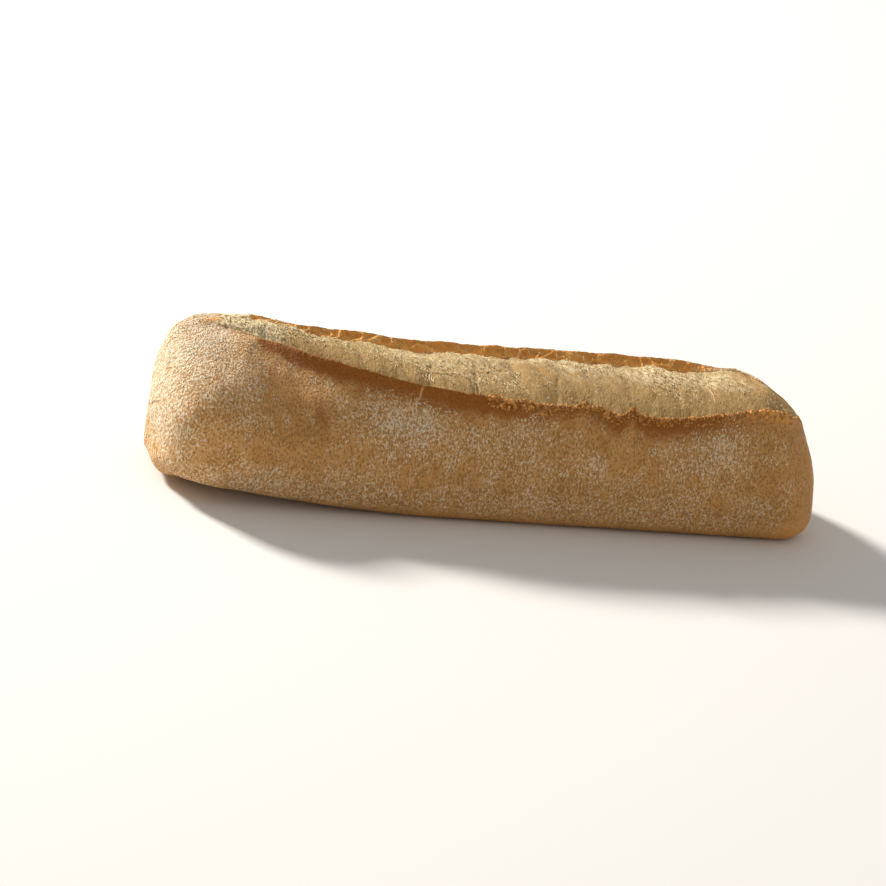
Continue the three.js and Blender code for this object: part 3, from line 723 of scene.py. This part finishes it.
WALL_SHREDS, BARE_WALL_SHREDS = 0.12, (5, 1)  # on the back edge, and how much more where it has no crust
WALL_SHREDS_UP, WALL_SHREDS_TO = (0.3, 0.9), 90
draw = np.random.default_rng(5)
outward = normals(loaf_points)
around_way = np.roll(loaf_points, -1, 1) - np.roll(loaf_points, 1, 1)
around_way /= np.maximum(np.linalg.norm(around_way, axis=-1, keepdims=True), 1e-9)


def drawn_places(weight, count):
    """Row numbers of points of the loaf, drawn at random, more often where the weight is higher."""
    return draw.choice(weight.size, count, p=weight.ravel() / weight.sum())


def spread(low_high, count):
    return draw.uniform(*low_high, count)


def tubes(paths, up, width):
    """Thin tubes along rows of points, tapered at both ends: points, then faces."""
    side = np.cross(np.gradient(paths, axis=1), up)
    side /= np.maximum(np.linalg.norm(side, axis=-1, keepdims=True), 1e-9)
    t = np.linspace(-1, 1, paths.shape[1])
    radius = (width[:, None] * (1 - SHRED_TAPER * t**2))[..., None, None]
    angle = (np.arange(SHRED_SIDES) * 2 * np.pi / SHRED_SIDES)[:, None]
    around = side[:, :, None] * np.cos(angle) + up[:, :, None] * np.sin(angle)
    points = paths[:, :, None] + radius * around
    ids = np.arange(points.size // 3).reshape(points.shape[:3])
    a, b = ids[:, :-1], ids[:, 1:]
    walls = np.stack([a, np.roll(a, -1, 2), np.roll(b, -1, 2), b], -1).reshape(-1, 4)
    return points.reshape(-1, 3), walls.tolist() + ids[:, 0, ::-1].tolist() + ids[:, -1].tolist()


def curls(rooted, length, lift, turn):
    """Paths of shreds on the loaf, each bowed up and bent between its ends, and which way is up."""
    root, up, way = (field.reshape(-1, 3)[rooted][:, None] for field in (loaf_points, outward, around_way))
    way = way * np.cos(turn)[:, None, None] + np.cross(up, way) * np.sin(turn)[:, None, None]
    t = np.linspace(-1, 1, SHRED_STEPS + 1)
    waves = spread((-SHRED_WAVE, SHRED_WAVE), len(rooted))[:, None]
    waves = waves * np.sin(np.pi * t + spread((0, 6), len(rooted))[:, None])
    bend = (spread((-SHRED_CURL, SHRED_CURL), len(rooted)) * length)[:, None] * (1 - t**2) + waves
    bow = lift[:, None] * (1 - t**2) - SHRED_SUNK
    path = root + way * (length[:, None] / 2 * t)[..., None]
    path = path + np.cross(up, way) * bend[..., None] + up * bow[..., None]
    return path, np.broadcast_to(up, path.shape)


def along_crease(front_end, back_end):
    """A strand's path beside a crease, and which way is up."""
    share = np.linspace(*np.sort(spread((-0.05, 1.05), 2)), SHRED_STEPS + 1)
    (x0, y0), (x1, y1) = front_end, back_end
    beside = draw.uniform(*STRAND_BESIDE) + np.cumsum(draw.normal(0, STRAND_WANDERS, len(share)))
    row = np.searchsorted(x, mix(x0, x1, share) + beside)
    column = [
        where["crumb"][np.abs(Y[r, where["crumb"]] - y).argmin()] for r, y in zip(row, mix(y0, y1, share))]
    return loaf_points[row, column] + STRAND_CLEAR * outward[row, column], outward[row, column]


open_crumb = torn * on("crumb", smooth(along_stretch("crumb"), *SHREDS_BEHIND))
open_crumb *= (X > SHREDS_FROM) * (X < SHREDS_TO)
on_wall = on("back_rim", 1 - smooth(up_rim, *WALL_SHREDS_UP)) * open_here * (X < WALL_SHREDS_TO)
shred_weight = open_crumb * shaggy * mix(*LEFT_THICK, smooth(X, *LEFT_THINS))
shred_weight += WALL_SHREDS * on_wall * mix(*BARE_WALL_SHREDS, crusted)
rooted = np.append(
    drawn_places(shred_weight, SHRED_COUNT), drawn_places(open_crumb * smooth(X, *FUZZ_FROM), FUZZ_COUNT))
shred_length, shred_lift, shred_width = (
    np.append(spread(shreds, SHRED_COUNT), spread(fuzz, FUZZ_COUNT)) for shreds, fuzz in (
        (SHRED_LENGTH, FUZZ_LENGTH), (SHRED_LIFT, FUZZ_LIFT), (SHRED_WIDTH, FUZZ_WIDTH)))
shred_paths, shred_up = curls(rooted, shred_length, shred_lift, draw.normal(*SHRED_TURN, len(rooted)))
strands = [along_crease(*row[:2]) for row in CREASES for _ in range(row[4])]
shred_paths = np.concatenate([shred_paths, [path for path, _ in strands]])
shred_up = np.concatenate([shred_up, [up for _, up in strands]])
shred_width = np.append(shred_width, spread(STRAND_WIDTH, len(strands)))
shreds_piece = meshed("crumb_shreds", *tubes(shred_paths, shred_up, shred_width))
each = (SHRED_STEPS + 1) * SHRED_SIDES
# Painted light: shreds at the tear's left end are whitened as if lit.
left_pale = LEFT_PALE_LIT * (shred_paths[:, 0, 0] < LEFT_PALE_TO)
shred_pale = np.maximum(spread(SHRED_PALE, len(shred_width)), left_pale)
shred_gold = spread(SHRED_GOLD, len(shred_width))
paint(
    shreds_piece, torn=np.ones(each * len(shred_width)), pale=np.repeat(shred_pale, each),
    golden=np.repeat(shred_gold, each))
shreds_piece.data.materials.append(bread)
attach(shreds_piece, "root")
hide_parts("loaf")


# Crumbs on the ear: grains of crust that broke along the torn rim and browned there. They sit on the
# rim in runs, half sunk in it.

GRAIN_RUNS = [  # from and to along X, grains for each mm
    (-13, -8, 13), (-8, 8, 7), (8, 28, 11), (28, 41, 8), (41, 47, 15), (47, 72, 5),
    (72, 98, 8), (98, 116, 5),
]
GRAIN_SIZE, GRAIN_SUNK, GRAIN_ROWS = (0.4, 1.3), 0.15, 4  # up to so many rows of points from the rim
GRAIN_KNOBS, GRAIN_STRETCH = (0.5, 1.35), (0.6, 1.4)
GRAIN_GOLDEN, GRAIN_CRUMBLY, GRAIN_BROWNED = (0.0, 0.8), (0, 0.4), (0.2, 0.9)
grain_x = np.concatenate([
    spread((start, stop), round((stop - start) * many)) for start, stop, many in GRAIN_RUNS])
grain_count = len(grain_x)
grain_row = np.searchsorted(x, grain_x)
grain_column = where["ear_rim"][0] + draw.integers(-GRAIN_ROWS, GRAIN_ROWS + 1, grain_count)
grain_at = loaf_points[grain_row, grain_column] - GRAIN_SUNK * outward[grain_row, grain_column]
grain_radius = spread(GRAIN_SIZE, grain_count) / 2
octahedron = np.array([(1, 0, 0), (-1, 0, 0), (0, 1, 0), (0, -1, 0), (0, 0, 1), (0, 0, -1)], float)
corner_faces = [(0, 2, 4), (2, 1, 4), (1, 3, 4), (3, 0, 4), (2, 0, 5), (1, 2, 5), (3, 1, 5), (0, 3, 5)]


def rounded(corners, faces):
    """A solid with each face split in four and its points pushed out to a ball."""
    points, middles, split = [np.array(c) for c in corners], {}, []

    def middle(i, j):
        key = (min(i, j), max(i, j))
        if key not in middles:
            half_way = points[i] + points[j]
            points.append(half_way / np.linalg.norm(half_way))
            middles[key] = len(points) - 1
        return middles[key]

    for a, b, c in faces:
        ab, bc, ca = middle(a, b), middle(b, c), middle(c, a)
        split += [(a, ab, ca), (ab, b, bc), (ca, bc, c), (ab, bc, ca)]
    return np.array(points), split


ball, ball_faces = rounded(octahedron, corner_faces)
knobbly = draw.uniform(*GRAIN_KNOBS, (grain_count, len(ball), 1))
knobbly = knobbly * draw.uniform(*GRAIN_STRETCH, (grain_count, 1, 3))
grain_points = grain_at[:, None] + ball[None] * knobbly * grain_radius[:, None, None]
grain_faces = [
    [first + i for i in face]
    for first in range(0, grain_count * len(ball), len(ball)) for face in ball_faces]
ear_crumbs = meshed("ear_crumbs", grain_points.reshape(-1, 3), grain_faces, rounded_off=False)
grain_golden, grain_crumbly, grain_browned = (
    np.repeat(spread(low_high, grain_count), len(ball))
    for low_high in (GRAIN_GOLDEN, GRAIN_CRUMBLY, GRAIN_BROWNED))
paint(ear_crumbs, torn=grain_crumbly, toast=grain_browned, golden=grain_golden)
ear_crumbs.data.materials.append(bread)
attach(ear_crumbs, "root")
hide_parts("loaf")


# The floor: a wide sheet of uncoated white paper that the roll lies on. It isn't part of the roll. The
# paper is matt, so the eye sees a plain pale ground with a soft shadow.

PAPER_WHITE, PAPER_ROUGHNESS, FLOOR_HALF = "#EAE9E7", 0.9, 3.0  # metres from the middle to an edge
floor_mesh = bpy.data.meshes.new("floor")
floor_corners = [(FLOOR_HALF * i, FLOOR_HALF * j, 0) for i, j in ((-1, -1), (1, -1), (1, 1), (-1, 1))]
floor_mesh.from_pydata(floor_corners, [], [(0, 1, 2, 3)])
floor = bpy.data.objects.new("floor", floor_mesh)
bpy.context.collection.objects.link(floor)
paper = bpy.data.materials.new("Uncoated white paper")
paper.use_nodes = True
paper_shader = paper.node_tree.nodes["Principled BSDF"]
paper_shader.inputs["Base Color"].default_value = linear(PAPER_WHITE)
paper_shader.inputs["Roughness"].default_value = PAPER_ROUGHNESS
floor.data.materials.append(paper)


# The light: one nearly white soft box on the left, behind and above, turned to the roll's middle, in a pale
# room that fills the shadows.

KEY_TOWARDS, KEY_DISTANCE, KEY_SIZE, KEY_POWER = (-0.60, 0.79, 0.62), 3.0, 0.5, 144  # metres and watts
KEY_WHITE, ROOM_WHITE, ROOM_STRENGTH = "#FFFBF4", "#FFFBF5", 0.45
lamp = bpy.data.lights.new("key_light", "AREA")
lamp.size, lamp.energy, lamp.color = KEY_SIZE, KEY_POWER, linear(KEY_WHITE)[:3]
key_light = bpy.data.objects.new("key_light", lamp)
towards = Vector(KEY_TOWARDS).normalized()
key_turn = towards.to_track_quat("Z", "Y").to_matrix().to_4x4()
key_light.matrix_world = Matrix.Translation(towards * KEY_DISTANCE) @ key_turn
bpy.context.collection.objects.link(key_light)
room = bpy.data.worlds.new("pale_room")
room.use_nodes = True
room.node_tree.nodes["Background"].inputs["Color"].default_value = linear(ROOM_WHITE)
room.node_tree.nodes["Background"].inputs["Strength"].default_value = ROOM_STRENGTH
bpy.context.scene.world = room
bpy.context.scene.view_settings.view_transform = "Standard"


# The camera: a long lens a little to the left and above, turned so that the stick runs down to the right.
# The point that it aims at, in the middle of the stick, falls on one pixel of the picture.

AZIMUTH, ELEVATION, ROLL = math.radians(-23), math.radians(20), math.radians(12.5)
DISTANCE, LENS, SENSOR, PICTURE = 1.2, 135.0, 36.0, 886
AIM, AIM_PIXEL = Vector((-1.532, 0.099, 26)) * MM, (487.5, 427)
behind = Vector((
    math.sin(AZIMUTH) * math.cos(ELEVATION), -math.cos(AZIMUTH) * math.cos(ELEVATION), math.sin(ELEVATION)))
right = (-behind).cross(Vector((0, 0, 1))).normalized()
upward = right.cross(-behind)
right, upward = (
    right * math.cos(ROLL) + upward * math.sin(ROLL), upward * math.cos(ROLL) - right * math.sin(ROLL))
pixels = LENS / SENSOR * PICTURE
aside, above = (AIM_PIXEL[0] - PICTURE / 2) / pixels, (PICTURE / 2 - AIM_PIXEL[1]) / pixels
stands_at = AIM - DISTANCE * (aside * right + above * upward - behind)
lens = bpy.data.cameras.new("camera")
lens.lens, lens.sensor_width = LENS, SENSOR
camera = bpy.data.objects.new("camera", lens)
camera.matrix_world = Matrix.Translation(stands_at) @ Matrix((right, upward, behind)).transposed().to_4x4()
bpy.context.collection.objects.link(camera)
bpy.context.scene.camera = camera
